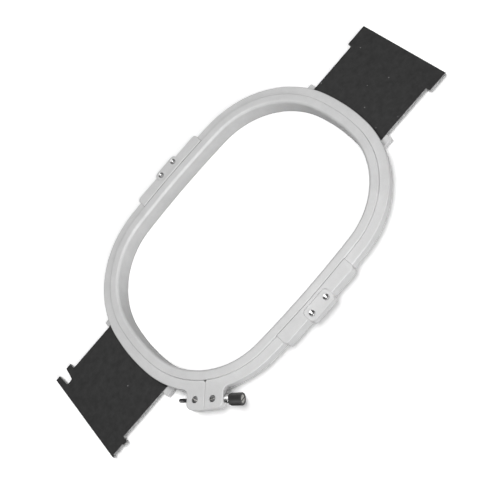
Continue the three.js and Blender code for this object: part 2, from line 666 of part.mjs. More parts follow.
// what turns or moves with the screw, in the screw's frame
const spindle = new THREE.Group();
spindle.applyMatrix4(screwFrame);
clamp.add(spindle);

const collarStart = earEdge + FIT_GAP + (COLLAR_NECK / 2) * Math.sin(screwTilt);
const collarStep = collarStart + COLLAR_NECK_LENGTH;
const collarEnd = collarStart + COLLAR_LENGTH;
const washerStart = collarEnd + FIT_GAP;
const knobStart = washerStart + WASHER_THICKNESS + FIT_GAP;
const knobEnd = knobStart + KNOB_LENGTH;
const dishFloor = knobEnd - KNOB_DISH_DEPTH;
const holeRadius = throughHole / 2;

addPiece('clamp_collar', turned([
  [holeRadius, collarStart],
  [COLLAR_NECK / 2 - COLLAR_CHAMFER, collarStart],
  [COLLAR_NECK / 2, collarStart + COLLAR_CHAMFER],
  [COLLAR_NECK / 2, collarStep],
  [COLLAR_DIAMETER / 2 - COLLAR_CHAMFER, collarStep],
  [COLLAR_DIAMETER / 2, collarStep + COLLAR_CHAMFER],
  [COLLAR_DIAMETER / 2, collarEnd - COLLAR_CHAMFER],
  [COLLAR_DIAMETER / 2 - COLLAR_CHAMFER, collarEnd],
  [holeRadius, collarEnd],
  [holeRadius, collarStart],
]), brightSteel, spindle);

addPiece('clamp_washer', turned([
  [holeRadius, washerStart],
  [WASHER_DIAMETER / 2, washerStart],
  [WASHER_DIAMETER / 2, washerStart + WASHER_THICKNESS],
  [holeRadius, washerStart + WASHER_THICKNESS],
  [holeRadius, washerStart],
]), darkSteel, spindle);

// screw, right through the knob, with a slotted head in the recess of its end
const screwTip = -earEdge - SCREW_TAIL;
const headStart = dishFloor + FIT_GAP;
const headEnd = headStart + SCREW_HEAD_HEIGHT;
const headRadius = KNOB_DISH_DIAMETER / 2 - FIT_GAP;
const screwBody = turned([
  [0, screwTip],
  [SCREW_DIAMETER / 2 - SCREW_TIP_CHAMFER, screwTip],
  [SCREW_DIAMETER / 2, screwTip + SCREW_TIP_CHAMFER],
  [SCREW_DIAMETER / 2, headStart],
  [headRadius, headStart],
  [headRadius, headEnd - SCREW_HEAD_CHAMFER],
  [headRadius - SCREW_HEAD_CHAMFER, headEnd],
  [0, headEnd],
], 24);
const screwSlot = new THREE.BoxGeometry(3 * headRadius, 2 * SCREW_SLOT_DEPTH, SCREW_SLOT_WIDTH);
screwSlot.rotateY(-rad(SCREW_SLOT_TURN));
screwSlot.translate(0, headEnd, 0);
addPiece('clamp_screw', toGeometry(solid(screwBody).subtract(solid(screwSlot))), darkSteel, spindle);

// knob: straight knurls round a bored body
const knurl = [];
for (let i = 0; i < 2 * KNOB_TEETH; i += 1) {
  const a = (Math.PI * i) / KNOB_TEETH;
  const radius = KNOB_DIAMETER / 2 - (i % 2 ? KNOB_TOOTH : 0);
  knurl.push(new THREE.Vector2(radius * Math.cos(a), radius * Math.sin(a)));
}
const knobBody = slab(new THREE.Shape(knurl), 0, KNOB_LENGTH, KNOB_CHAMFER);
knobBody.rotateX(-Math.PI / 2);
knobBody.translate(0, knobStart, 0);
const knob = solid(knobBody)
  .subtract(solid(along(throughHole, knobStart - KNOB_CHAMFER, knobEnd + KNOB_CHAMFER)))
  .subtract(solid(along(KNOB_DISH_DIAMETER, dishFloor, knobEnd + KNOB_CHAMFER)));
addPiece('clamp_knob', toGeometry(knob), { color: 0x262626, roughness: 0.5, metalness: 0 }, spindle);

export default part;
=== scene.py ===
import math

import bmesh
import bpy
from mathutils import Matrix, Vector


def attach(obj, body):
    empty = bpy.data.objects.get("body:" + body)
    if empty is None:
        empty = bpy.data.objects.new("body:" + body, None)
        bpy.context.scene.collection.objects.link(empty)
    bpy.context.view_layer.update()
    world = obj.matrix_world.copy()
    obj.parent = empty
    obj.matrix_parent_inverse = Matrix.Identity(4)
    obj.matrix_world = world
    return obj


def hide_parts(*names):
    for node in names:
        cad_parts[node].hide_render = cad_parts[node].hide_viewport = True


# machine embroidery hoop on a pale floor. Lengths in the dictionaries are millimetres, and metres
# for the camera, the light and the floor
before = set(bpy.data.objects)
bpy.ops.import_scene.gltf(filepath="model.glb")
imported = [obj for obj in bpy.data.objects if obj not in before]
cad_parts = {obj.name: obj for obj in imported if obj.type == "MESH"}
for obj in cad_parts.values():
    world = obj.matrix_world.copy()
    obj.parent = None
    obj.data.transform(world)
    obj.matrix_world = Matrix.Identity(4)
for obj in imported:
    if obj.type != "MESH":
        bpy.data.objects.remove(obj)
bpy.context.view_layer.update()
scene = bpy.context.scene
scene.view_settings.view_transform = "Standard"
print("stage: frame loaded")


def hexToLinear(code):
    channels = [int(code[i:i + 2], 16) / 255 for i in (1, 3, 5)]
    return tuple(c / 12.92 if c <= 0.04045 else ((c + 0.055) / 1.055) ** 2.4 for c in channels) + (1.0,)


# adds a node: settings go to sockets by name or number, or to the node's own options
def addNode(tree, kind, settings=None, links=None):
    node = tree.nodes.new(kind)
    for key, value in (settings or {}).items():
        if isinstance(key, int) or key in node.inputs:
            node.inputs[key].default_value = value
        else:
            setattr(node, key, value)
    for key, source in (links or {}).items():
        tree.links.new(source, node.inputs[key])
    return node


def newMaterial(name):
    material = bpy.data.materials.new(name)
    material.use_nodes = True
    tree = material.node_tree
    tree.nodes.clear()
    return material, tree, addNode(tree, "ShaderNodeOutputMaterial")


# tells the camera's rays, and rays that mirror off or pass through something, from all others
def rayKinds(tree):
    path = addNode(tree, "ShaderNodeLightPath")
    shine = addNode(tree, "ShaderNodeMath", {"operation": "MAXIMUM"},
                    {0: path.outputs["Is Glossy Ray"], 1: path.outputs["Is Transmission Ray"]})
    return path.outputs["Is Camera Ray"], shine.outputs[0]


# camera at the photograph's angle, rolled as the photograph is
camera = {
    "place": (0.020488, -0.445097, 0.646282),
    "forward": (-0.03396698, 0.5534928, -0.83216102),
    "right": (0.65450, -0.61693, -0.43705),
    "lens": 55.218,
    "sensor": 36,
}
backward = -Vector(camera["forward"]).normalized()
rightward = Vector(camera["right"])
rightward = (rightward - rightward.dot(backward) * backward).normalized()
upward = backward.cross(rightward)
cameraData = bpy.data.cameras.new("camera")
cameraData.sensor_width = camera["sensor"]
cameraData.lens = camera["lens"]
cameraObject = bpy.data.objects.new("camera", cameraData)
cameraObject.matrix_world = Matrix((
    (rightward.x, upward.x, backward.x, camera["place"][0]),
    (rightward.y, upward.y, backward.y, camera["place"][1]),
    (rightward.z, upward.z, backward.z, camera["place"][2]),
    (0, 0, 0, 1),
))
scene.collection.objects.link(cameraObject)
scene.camera = cameraObject

# light: a white room that fades towards the hoop's two ends, and soft round panels. The panel
# close above the near side gives the tops their fall from near to far, the two low ones light
# the walls that face the camera. A panel lights a surface square to it by its level
light = {
    "room": 0.15,
    "roomFade": 1.0,
    "shine": 0.7,  # the room as metal mirrors it
    "shineFade": 5.0,
    "panels": {
        "top_panel": {"place": (0.0, -0.16, 0.88), "size": 0.5, "level": 0.46},
        "back_panel": {"place": (0.0, 0.86, 1.806), "size": 0.7, "level": 0.21},
        "front_panel": {"place": (0.1, -1.69, 1.053), "size": 1.0, "level": 0.4},
        "low_panel": {"place": (0.2, -1.965, 0.313), "size": 0.6, "level": 0.37},
    },
}
white = (1, 1, 1, 1)
world = bpy.data.worlds.new("room")
scene.world = world
world.use_nodes = True
tree = world.node_tree
tree.nodes.clear()
facing = addNode(tree, "ShaderNodeTexCoord")
parts = addNode(tree, "ShaderNodeSeparateXYZ", links={0: facing.outputs["Generated"]})
squared = addNode(tree, "ShaderNodeMath", {"operation": "MULTIPLY"}, {0: parts.outputs["X"], 1: parts.outputs["X"]})
ends = addNode(tree, "ShaderNodeMath", {"operation": "SUBTRACT", 0: 1.0}, {1: squared.outputs[0]})
rooms = []
for strength, fade in ((light["room"], light["roomFade"]), (light["shine"], light["shineFade"])):
    faded = addNode(tree, "ShaderNodeMath", {"operation": "POWER", 1: fade}, {0: ends.outputs[0]})
    level = addNode(tree, "ShaderNodeMath", {"operation": "MULTIPLY", 1: strength}, {0: faded.outputs[0]})
    rooms.append(addNode(tree, "ShaderNodeBackground", {"Color": white}, {"Strength": level.outputs[0]}))
seen = addNode(tree, "ShaderNodeBackground", {"Color": white, "Strength": 1.0})
cameraRay, shineRay = rayKinds(tree)
mixed = addNode(tree, "ShaderNodeMixShader", links={0: shineRay, 1: rooms[0].outputs[0], 2: rooms[1].outputs[0]})
mixed = addNode(tree, "ShaderNodeMixShader", links={0: cameraRay, 1: mixed.outputs[0], 2: seen.outputs[0]})
addNode(tree, "ShaderNodeOutputWorld", links={"Surface": mixed.outputs[0]})

for name, panel in light["panels"].items():
    panelData = bpy.data.lights.new(name, "AREA")
    panelData.shape = "DISK"
    panelData.size = panel["size"]
    place = Vector(panel["place"])
    panelData.energy = panel["level"] * math.pi ** 2 * place.length_squared
    panelObject = bpy.data.objects.new(name, panelData)
    panelObject.location = place
    panelObject.rotation_euler = (-place).to_track_quat("-Z", "Y").to_euler()
    scene.collection.objects.link(panelObject)

# floor of matt white paper. "colour" is what it throws back on the hoop and "mirrored" what metal
# shows of it. The camera sees it brighter, so that it is white where no shadow falls: "seen" is
# its level in front of the hoop and behind, which changes between the two Y of "seenY", and it
# rises "far" times between the distances of "farFrom", where the panels' light ends
paper = {
    "half": 3,
    "colour": "#989898",
    "mirrored": "#f0f0f0",
    "seen": (1.17, 1.42),
    "seenY": (-0.14, -0.1),
    "far": 16.0,
    "farFrom": (0.35, 3.0),
}
half = paper["half"]
floorMesh = bpy.data.meshes.new("floor")
floorMesh.from_pydata([(-half, -half, 0), (half, -half, 0), (half, half, 0), (-half, half, 0)], [], [(0, 1, 2, 3)])
floorObject = bpy.data.objects.new("floor", floorMesh)
scene.collection.objects.link(floorObject)
whitePaper, tree, output = newMaterial("matt_white_paper")
cameraRay, shineRay = rayKinds(tree)
tone = addNode(tree, "ShaderNodeMix", {
    "data_type": "RGBA", 6: hexToLinear(paper["colour"]), 7: hexToLinear(paper["mirrored"])}, {0: shineRay})
coords = addNode(tree, "ShaderNodeTexCoord").outputs["Object"]
parts = addNode(tree, "ShaderNodeSeparateXYZ", links={0: coords})
near = addNode(tree, "ShaderNodeMapRange", {
    "From Min": paper["seenY"][0], "From Max": paper["seenY"][1],
    "To Min": paper["seen"][0], "To Max": paper["seen"][1]}, {"Value": parts.outputs["Y"]})
away = addNode(tree, "ShaderNodeVectorMath", {"operation": "LENGTH"}, {0: coords})
far = addNode(tree, "ShaderNodeMapRange", {
    "From Min": paper["farFrom"][0], "From Max": paper["farFrom"][1],
    "To Min": 1.0, "To Max": paper["far"]}, {"Value": away.outputs["Value"]})
bright = addNode(tree, "ShaderNodeMath", {"operation": "MULTIPLY"}, {0: near.outputs[0], 1: far.outputs[0]})
tone = addNode(tree, "ShaderNodeMix", {"data_type": "RGBA"}, {0: cameraRay, 6: tone.outputs[2], 7: bright.outputs[0]})
shader = addNode(tree, "ShaderNodeBsdfDiffuse", links={"Color": tone.outputs[2]})
tree.links.new(shader.outputs[0], output.inputs["Surface"])
floorMesh.materials.append(whitePaper)
print("stage: camera and light set")


# a surface that drifts from shade to colour in patches, with dust and a bumped grain where its
# look has them; "stops" are the levels of the patches' noise between which it drifts
def patchyMaterial(name, look):
    material, tree, output = newMaterial(name)
    coords = addNode(tree, "ShaderNodeTexCoord").outputs["Object"]
    patches = addNode(tree, "ShaderNodeTexNoise", {
        "Scale": 1000 / look["patchMm"], "Detail": look["patchDetail"],
        "Roughness": look.get("patchBreak", 0.5)}, {"Vector": coords})
    tint = addNode(tree, "ShaderNodeValToRGB", links={"Fac": patches.outputs["Fac"]})
    for element, place, key in zip(tint.color_ramp.elements, look["stops"], ("shade", "colour")):
        element.position, element.color = place, hexToLinear(look[key])
    links = {"Base Color": tint.outputs["Color"]}
    if "dust" in look:
        specks = addNode(tree, "ShaderNodeTexVoronoi", {"Scale": 1000 / look["dustMm"]}, {"Vector": coords})
        within = addNode(tree, "ShaderNodeMath", {"operation": "LESS_THAN", 1: look["dustSize"]},
                         {0: specks.outputs["Distance"]})
        dusty = addNode(tree, "ShaderNodeMix", {"data_type": "RGBA", 7: hexToLinear(look["dust"])},
                        {0: within.outputs[0], 6: tint.outputs["Color"]})
        links["Base Color"] = dusty.outputs[2]
    if "bump" in look:
        grain = addNode(tree, "ShaderNodeTexNoise", {
            "Scale": 1000 / look["grainMm"], "Detail": look["grainDetail"]}, {"Vector": coords})
        bump = addNode(tree, "ShaderNodeBump", {
            "Strength": look["bump"], "Distance": look["bumpMm"] / 1000}, {"Height": grain.outputs["Fac"]})
        links["Normal"] = bump.outputs["Normal"]
    sockets = {"Metallic": "metallic", "Roughness": "roughness", "IOR": "ior"}
    settings = {socket: look[key] for socket, key in sockets.items() if key in look}
    shader = addNode(tree, "ShaderNodeBsdfPrincipled", settings, links)
    tree.links.new(shader.outputs[0], output.inputs["Surface"])
    return material


# filled nylon, moulded in a spark-eroded tool: a pale satin grey with a fine grain and faint flow
# clouds. The tool's grain, about 0.1 mm, is drawn coarser so that it shows
nylon = {"colour": "#cecece", "shade": "#c2c2c2", "stops": (0.3, 0.7), "roughness": 0.38, "ior": 1.5,
         "patchMm": 24, "patchDetail": 6.0, "patchBreak": 0.75,
         "grainMm": 0.35, "grainDetail": 2.0, "bump": 0.08, "bumpMm": 0.1}
mouldedNylon = patchyMaterial("moulded_nylon", nylon)

# black anodised aluminium sheet: matt, faintly mottled, with a few pale specks of dust of about
# half a millimetre. The rolled sheet's grain is drawn coarser so that it shows
anodise = {"colour": "#242424", "shade": "#0f0f0f", "stops": (0.35, 0.65), "roughness": 0.72, "ior": 1.5,
           "patchMm": 8, "patchDetail": 6.0, "patchBreak": 0.75, "dust": "#747474", "dustMm": 13, "dustSize": 0.045,
           "grainMm": 1.1, "grainDetail": 3.0, "bump": 0.3, "bumpMm": 0.1}
blackAnodise = patchyMaterial("black_anodised_aluminium", anodise)

# bare aluminium at the sheet's sawn edges, rubbed dull
sawn = {"colour": "#c6c6c6", "shade": "#8c8c8c", "stops": (0.35, 0.65), "roughness": 0.5, "metallic": 1.0,
        "patchMm": 2.5, "patchDetail": 4.0}
sawnAluminium = patchyMaterial("sawn_aluminium", sawn)

# steel with an oiled black oxide: dark, blotched, with a soft shine
oxide = {"colour": "#6a6a6a", "shade": "#4c4c4d", "stops": (0.35, 0.65), "roughness": 0.34, "metallic": 1.0,
         "patchMm": 1.6, "patchDetail": 3.0}
blackOxide = patchyMaterial("black_oxide_steel", oxide)

# the same steel where a screwdriver or a hand has rubbed the oxide off: bright, with darker scuffs. In the barrels'
# slots this bright steel is a painted highlight, where the slot catches the light
wornAndHighlight = {"colour": "#c4c2be", "shade": "#8e8d8a", "stops": (0.35, 0.6), "roughness": 0.3, "metallic": 1.0,
        "patchMm": 0.8, "patchDetail": 3.0}
wornSteelAndHighlight = patchyMaterial("worn_steel_and_highlight", wornAndHighlight)

# glass-filled nylon of the knob, moulded black: satin, with a dry grain
grip = {"colour": "#404040", "shade": "#282828", "stops": (0.3, 0.7), "roughness": 0.36, "ior": 1.5,
        "patchMm": 0.25, "patchDetail": 3.0, "grainMm": 0.25, "grainDetail": 3.0, "bump": 0.1, "bumpMm": 0.1}
blackNylon = patchyMaterial("black_moulded_nylon", grip)

# steel faced on a lathe: polished, with the tool's faint rings, which are drawn far coarser than
# its feed so that they show
turned = {"colour": "#acacac", "roughness": 0.13, "ringMm": 1.885, "bump": 0.1, "bumpMm": 0.03}
wavesPerScale = 20 / (2 * math.pi)  # the wave texture's rings to a metre at scale 1
turnedSteel, tree, output = newMaterial("turned_steel")
coords = addNode(tree, "ShaderNodeTexCoord").outputs["Object"]
rings = addNode(tree, "ShaderNodeTexWave", {
    "wave_type": "RINGS", "rings_direction": "Z",
    "Scale": 1000 / turned["ringMm"] / wavesPerScale}, {"Vector": coords})
bump = addNode(tree, "ShaderNodeBump", {
    "Strength": turned["bump"], "Distance": turned["bumpMm"] / 1000}, {"Height": rings.outputs["Fac"]})
shader = addNode(tree, "ShaderNodeBsdfPrincipled", {
    "Base Color": hexToLinear(turned["colour"]), "Metallic": 1.0,
    "Roughness": turned["roughness"]}, {"Normal": bump.outputs["Normal"]})
tree.links.new(shader.outputs[0], output.inputs["Surface"])

# brass collar with a chrome plate: near mirror, with faint smears that dull it
chrome = {"colour": "#e6e6e6", "clean": 0.2, "smeared": 0.28, "smearMm": 3, "smearDetail": 2.0}
chromePlate, tree, output = newMaterial("chrome_plated_brass")
coords = addNode(tree, "ShaderNodeTexCoord").outputs["Object"]
smear = addNode(tree, "ShaderNodeTexNoise", {
    "Scale": 1000 / chrome["smearMm"], "Detail": chrome["smearDetail"]}, {"Vector": coords})
polish = addNode(tree, "ShaderNodeMapRange", {"To Min": chrome["clean"], "To Max": chrome["smeared"]},
                 {"Value": smear.outputs["Fac"]})
shader = addNode(tree, "ShaderNodeBsdfPrincipled", {"Base Color": hexToLinear(chrome["colour"]), "Metallic": 1.0},
                 {"Roughness": polish.outputs[0]})
tree.links.new(shader.outputs[0], output.inputs["Surface"])
print("stage: materials made")

# plan of the seam between the two rings: arcs round the corners' centres, and bowed ends and sides
seam = {"cornerX": 58.9, "cornerY": 15.4, "cornerRadius": 96.5, "sideBow": 1.7, "endBow": 1.1,
        "endSteps": 6, "cornerSteps": 44, "sideSteps": 12}
seamEnd = seam["cornerX"] + seam["cornerRadius"] + seam["endBow"]
seamSide = seam["cornerY"] + seam["cornerRadius"] + seam["sideBow"]
centreSquare = seam["cornerX"] ** 2 + seam["cornerY"] ** 2
sideDrop = (centreSquare - (seamSide - seam["cornerRadius"]) ** 2) / (2 * seam["sideBow"])
endDrop = (centreSquare - (seamEnd - seam["cornerRadius"]) ** 2) / (2 * seam["endBow"])
endAngle = math.atan2(seam["cornerY"], seam["cornerX"] + endDrop)
sideAngle = math.atan2(seam["cornerY"] + sideDrop, seam["cornerX"])


# the seam, anticlockwise, as points with their outward normals
def seamLoop():
    arcs = (
        (-endDrop, 0, seamEnd + endDrop, 0, endAngle, seam["endSteps"]),
        (seam["cornerX"], seam["cornerY"], seam["cornerRadius"], endAngle, sideAngle, seam["cornerSteps"]),
        (0, -sideDrop, seamSide + sideDrop, sideAngle, math.pi / 2, seam["sideSteps"]),
    )
    quarter = []
    for number, (cx, cy, radius, start, stop, steps) in enumerate(arcs):
        for i in range(1 if number else 0, steps + 1):
            angle = start + (stop - start) * i / steps
            nx, ny = math.cos(angle), math.sin(angle)
            quarter.append((cx + radius * nx, cy + radius * ny, nx, ny))
    back = quarter[:-1][::-1]
    loop = list(quarter)
    loop += [(-x, y, -nx, ny) for x, y, nx, ny in back]
    loop += [(-x, -y, -nx, -ny) for x, y, nx, ny in quarter[1:]]
    loop += [(x, -y, nx, -ny) for x, y, nx, ny in back[:-1]]
    return loop


# X of the ring at a given Y, and Y at a given X, at an offset from the seam
def ringX(y, offset):
    across = abs(y)
    radius = seamEnd + endDrop + offset
    if across <= radius * math.sin(endAngle):
        return math.sqrt(radius ** 2 - across ** 2) - endDrop
    return seam["cornerX"] + math.sqrt((seam["cornerRadius"] + offset) ** 2 - (across - seam["cornerY"]) ** 2)


def ringY(x, offset):
    along = abs(x)
    radius = seamSide + sideDrop + offset
    if along <= radius * math.cos(sideAngle):
        return math.sqrt(radius ** 2 - along ** 2) - sideDrop
    return seam["cornerY"] + math.sqrt((seam["cornerRadius"] + offset) ** 2 - (along - seam["cornerX"]) ** 2)


def arcPoints(cx, cy, radius, start, stop, steps):
    angles = [math.radians(start + (stop - start) * i / steps) for i in range(steps + 1)]
    return [(cx + radius * math.cos(angle), cy + radius * math.sin(angle)) for angle in angles]


# rounds a profile's corner at (x, z); the quarters count anticlockwise from the outer top one, 0
def rounded(x, z, radius, quarter, steps):
    centreX = x - radius if quarter in (0, 3) else x + radius
    centreZ = z - radius if quarter in (0, 1) else z + radius
    return arcPoints(centreX, centreZ, radius, 90 * quarter, 90 * quarter + 90, steps)


def circle(radius, sides, x=0, y=0):
    return arcPoints(x, y, radius, 0, 360, sides)[:-1]


def rectangle(halfX, halfY):
    return [(-halfX, -halfY), (halfX, -halfY), (halfX, halfY), (-halfX, halfY)]


def turnAbout(axis, degrees):
    return Matrix.Rotation(math.radians(degrees), 4, axis)


def addObject(name, points, faces):
    mesh = bpy.data.meshes.new(name)
    mesh.from_pydata([(x / 1000, y / 1000, z / 1000) for x, y, z in points], [], faces)
    work = bmesh.new()
    work.from_mesh(mesh)
    bmesh.ops.recalc_face_normals(work, faces=work.faces)
    work.to_mesh(mesh)
    work.free()
    mesh.polygons.foreach_set("use_smooth", [True] * len(mesh.polygons))
    piece = bpy.data.objects.new(name, mesh)
    scene.collection.objects.link(piece)
    return piece


# ring swept round the seam from a closed profile of (offset, height), anticlockwise
def sweepRing(name, profile):
    loop = seamLoop()
    size = len(profile)
    points = [(x + nx * offset, y + ny * offset, z) for x, y, nx, ny in loop for offset, z in profile]
    faces = []
    for i in range(len(loop)):
        k = (i + 1) % len(loop)
        for j in range(size):
            m = (j + 1) % size
            faces.append((i * size + j, k * size + j, k * size + m, i * size + m))
    return addObject(name, points, faces)


# closed outline from (x, y, radius) corners, or (x, y) for a sharp one
def roundOutline(corners, stepDegrees=12):
    sideShare = 0.49  # the most of a side that one corner takes
    outline = []
    for i, corner in enumerate(corners):
        x, y, radius = corner if len(corner) == 3 else (*corner, 0)
        if not radius:
            outline.append((x, y))
            continue
        here = Vector((x, y))
        before = Vector(corners[i - 1][:2]) - here
        after = Vector(corners[(i + 1) % len(corners)][:2]) - here
        half = before.angle(after) / 2
        reach = min(radius / math.tan(half), before.length * sideShare, after.length * sideShare)
        fitted = reach * math.tan(half)
        centre = here + (before.normalized() + after.normalized()).normalized() * (fitted / math.sin(half))
        start = here + before.normalized() * reach - centre
        stop = here + after.normalized() * reach - centre
        first = math.atan2(start.y, start.x)
        sweep = (math.atan2(stop.y, stop.x) - first + math.pi) % (2 * math.pi) - math.pi
        steps = max(2, round(abs(math.degrees(sweep)) / stepDegrees))
        for k in range(steps + 1):
            angle = first + sweep * k / steps
            outline.append((centre.x + fitted * math.cos(angle), centre.y + fitted * math.sin(angle)))
    area = sum(p[0] * q[1] - q[0] * p[1] for p, q in zip(outline, outline[1:] + outline[:1]))
    return outline if area > 0 else outline[::-1]


# plate between two heights, with its bottom and top edges rounded; the outline's own corners
# have to be rounder than its edge, or the inset crosses itself
def slab(name, outline, bottom, top, edge=0.0, steps=4):
    mitreLimit = 0.3
    count = len(outline)
    normals = []
    for i, point in enumerate(outline):
        before = (Vector(point) - Vector(outline[i - 1])).normalized()
        after = (Vector(outline[(i + 1) % count]) - Vector(point)).normalized()
        inward = Vector((-before.y - after.y, before.x + after.x)).normalized()
        normals.append(inward / max(mitreLimit, inward.dot(Vector((-after.y, after.x)))))
    levels = [(0, bottom), (0, top)]
    if edge:
        bends = [math.pi / 2 * k / steps for k in range(steps + 1)]
        levels = [(edge * (1 - math.sin(bend)), bottom + edge * (1 - math.cos(bend))) for bend in bends]
        levels += [(edge * (1 - math.cos(bend)), top - edge * (1 - math.sin(bend))) for bend in bends]
    points = []
    for inset, z in levels:
        points += [(p[0] + n.x * inset, p[1] + n.y * inset, z) for p, n in zip(outline, normals)]
    faces = [tuple(range(count))[::-1], tuple(range((len(levels) - 1) * count, len(levels) * count))]
    for low in range(len(levels) - 1):
        for i in range(count):
            k = (i + 1) % count
            faces.append((low * count + i, low * count + k, (low + 1) * count + k, (low + 1) * count + i))
    return addObject(name, points, faces)


# body turned about Z from (radius, height) points that start and end on the axis, or close
def lathe(name, profile, sides):
    closed = profile[0][0] > 0
    points, rows = [], []
    for radius, z in profile:
        if radius == 0:
            rows.append([len(points)] * sides)
            points.append((0, 0, z))
        else:
            rows.append(list(range(len(points), len(points) + sides)))
            points += [(x, y, z) for x, y in circle(radius, sides)]
    if closed:
        rows.append(rows[0])
    faces = []
    for low, high in zip(rows, rows[1:]):
        for i in range(sides):
            k = (i + 1) % sides
            face = list(dict.fromkeys((low[i], low[k], high[k], high[i])))
            if len(face) > 2:
                faces.append(tuple(face))
    return addObject(name, points, faces)


# joins or cuts tools into a piece, and keeps the result as its mesh
def combine(piece, tools):
    for tool, operation in tools:
        step = piece.modifiers.new("step", "BOOLEAN")
        step.object, step.operation, step.solver = tool, operation, "EXACT"
    graph = bpy.context.evaluated_depsgraph_get()
    made = bpy.data.meshes.new_from_object(piece.evaluated_get(graph))
    piece.modifiers.clear()
    old, piece.data = piece.data, made
    made.name = piece.name
    bpy.data.meshes.remove(old)
    for tool, _ in tools:
        bpy.data.objects.remove(tool)


# smooth shading that stays crisp at edges over the angle
def crisp(piece, angle=32):
    mesh = piece.data
    mesh.polygons.foreach_set("use_smooth", [True] * len(mesh.polygons))
    mesh.set_sharp_from_angle(angle=math.radians(angle))
    weighted = piece.modifiers.new("weighted", "WEIGHTED_NORMAL")
    weighted.keep_sharp = True
    return piece


# gives a piece its material, hides the solids that it stands for, and hangs it on the body that it rides on
def dress(piece, material, slot, body, *nodes):
    piece.data.materials.clear()
    piece.data.materials.append(material)
    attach(piece, body)
    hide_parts(*nodes)


# stands a piece in a frame whose lengths are millimetres
def standIn(spot, piece):
    place, turn, _ = spot.decompose()
    piece.matrix_world = Matrix.Translation(place / 1000) @ turn.to_matrix().to_4x4()
    return piece


# inner ring; it stands closer to the seam than the solids do, as cloth would have to be squeezed in
innerRing = {"gap": 0.08, "face": -10.1, "middle": 10, "height": 20, "foot": 1.1, "footSteps": 4,
             "outerRound": 0.9, "outerSteps": 6, "innerRound": 3.0, "innerSteps": 9}
edge, face, height, middle = -innerRing["gap"], innerRing["face"], innerRing["height"], innerRing["middle"]
inner = sweepRing("inner_ring_body", [
    *rounded(face, 0, innerRing["foot"], 2, innerRing["footSteps"]),
    *rounded(edge, 0, innerRing["foot"], 3, innerRing["footSteps"]),
    (edge, middle),
    *rounded(edge, height, innerRing["outerRound"], 0, innerRing["outerSteps"]),
    *rounded(face, height, innerRing["innerRound"], 1, innerRing["innerSteps"]),
    (face, middle),
])
dress(crisp(inner), mouldedNylon, "hoop_plastic", "inner_ring", "inner_hoop")
print("stage: inner ring made")

# outer ring, which takes its bars, bosses, lugs and clamp ears into one moulding
outerRing = {"wall": 9.8, "bottom": 7, "top": 18, "foot": 0.9, "footSteps": 4, "round": 1.2, "roundSteps": 6,
             "seamEdge": 0.3, "seamSteps": 2}
wall, bottom, top, seamEdge = (outerRing[key] for key in ("wall", "bottom", "top", "seamEdge"))
outer = sweepRing("outer_ring_body", [
    (seamEdge, bottom),
    *rounded(wall, bottom, outerRing["foot"], 3, outerRing["footSteps"]),
    *rounded(wall, top, outerRing["round"], 0, outerRing["roundSteps"]),
    *rounded(0, top, seamEdge, 1, outerRing["seamSteps"]),
    (0, bottom + seamEdge),
])
tools = []

# raised bars on the long sides, with a boss and a pocket for the side plate. The rear bar's
# inner edge shows as a clear line in the photograph, and the front bar's as a faint one
bar = {"half": 47.4, "reach": 2.9, "rise": 2, "corner": 4, "innerCorner": 1, "innerSteps": 20,
       "edges": {"rear": 0.9, "front": 0.7}, "insets": {"rear": 0.5, "front": 0.1}}
sidePlate = {"half": 15.8, "depth": 14.7, "reach": 5.2, "thick": 2.2, "top": 18.4, "corner": 4.6, "fit": 0.27,
             "edge": 0.2, "pocketFit": 0.3, "pocketPast": 5, "pocketAbove": 2, "bossBottom": 10, "bossSink": 1,
             "bossEdge": 0.5, "screwSpacing": 19.5, "screwInset": 6.9, "hole": 1.8, "holeDepth": 5.5,
             "holeSides": 32, "holeSpan": (10, 25)}
barTop = top + bar["rise"]
barOuter = seamSide + wall + bar["reach"]
plateOuter = barOuter + sidePlate["reach"]
plateInner = plateOuter - sidePlate["depth"]
plateBottom = sidePlate["top"] - sidePlate["thick"]
plateScrewX, plateScrewY = sidePlate["screwSpacing"] / 2, plateOuter - sidePlate["screwInset"]
for turn, side in ((1, "rear"), (-1, "front")):
    half = bar["half"]
    barShape = []
    for k in range(bar["innerSteps"] + 1):
        x = half * (2 * k / bar["innerSteps"] - 1)
        barShape.append((x, ringY(x, bar["insets"][side]), 0 if k % bar["innerSteps"] else bar["innerCorner"]))
    barShape += [(half, barOuter, bar["corner"]), (-half, barOuter, bar["corner"])]
    half, corner, root = sidePlate["half"], sidePlate["corner"], barOuter - bar["reach"]
    bossShape = [(-half, root), (half, root), (half, plateOuter, corner), (-half, plateOuter, corner)]
    fit = sidePlate["pocketFit"]
    half, corner, low, far = half + fit, corner + fit, plateInner - fit, plateOuter + sidePlate["pocketPast"]
    pocketShape = [(-half, low, corner), (half, low, corner), (half, far), (-half, far)]
    spun = [[(turn * x, turn * y) for x, y in roundOutline(shape)] for shape in (barShape, bossShape, pocketShape)]
    bossTop, pocketTop = barTop - sidePlate["bossSink"], barTop + sidePlate["pocketAbove"]
    tools += [(slab("bar", spun[0], bottom, barTop, bar["edges"][side]), "UNION"),
              (slab("boss", spun[1], sidePlate["bossBottom"], bossTop, sidePlate["bossEdge"]), "UNION"),
              (slab("pocket", spun[2], plateBottom, pocketTop), "DIFFERENCE")]
    for along in (-1, 1):
        hole = circle(sidePlate["hole"], sidePlate["holeSides"], along * plateScrewX, turn * plateScrewY)
        tools.append((slab("screw_hole", hole, plateBottom - sidePlate["holeDepth"], barTop), "DIFFERENCE"))

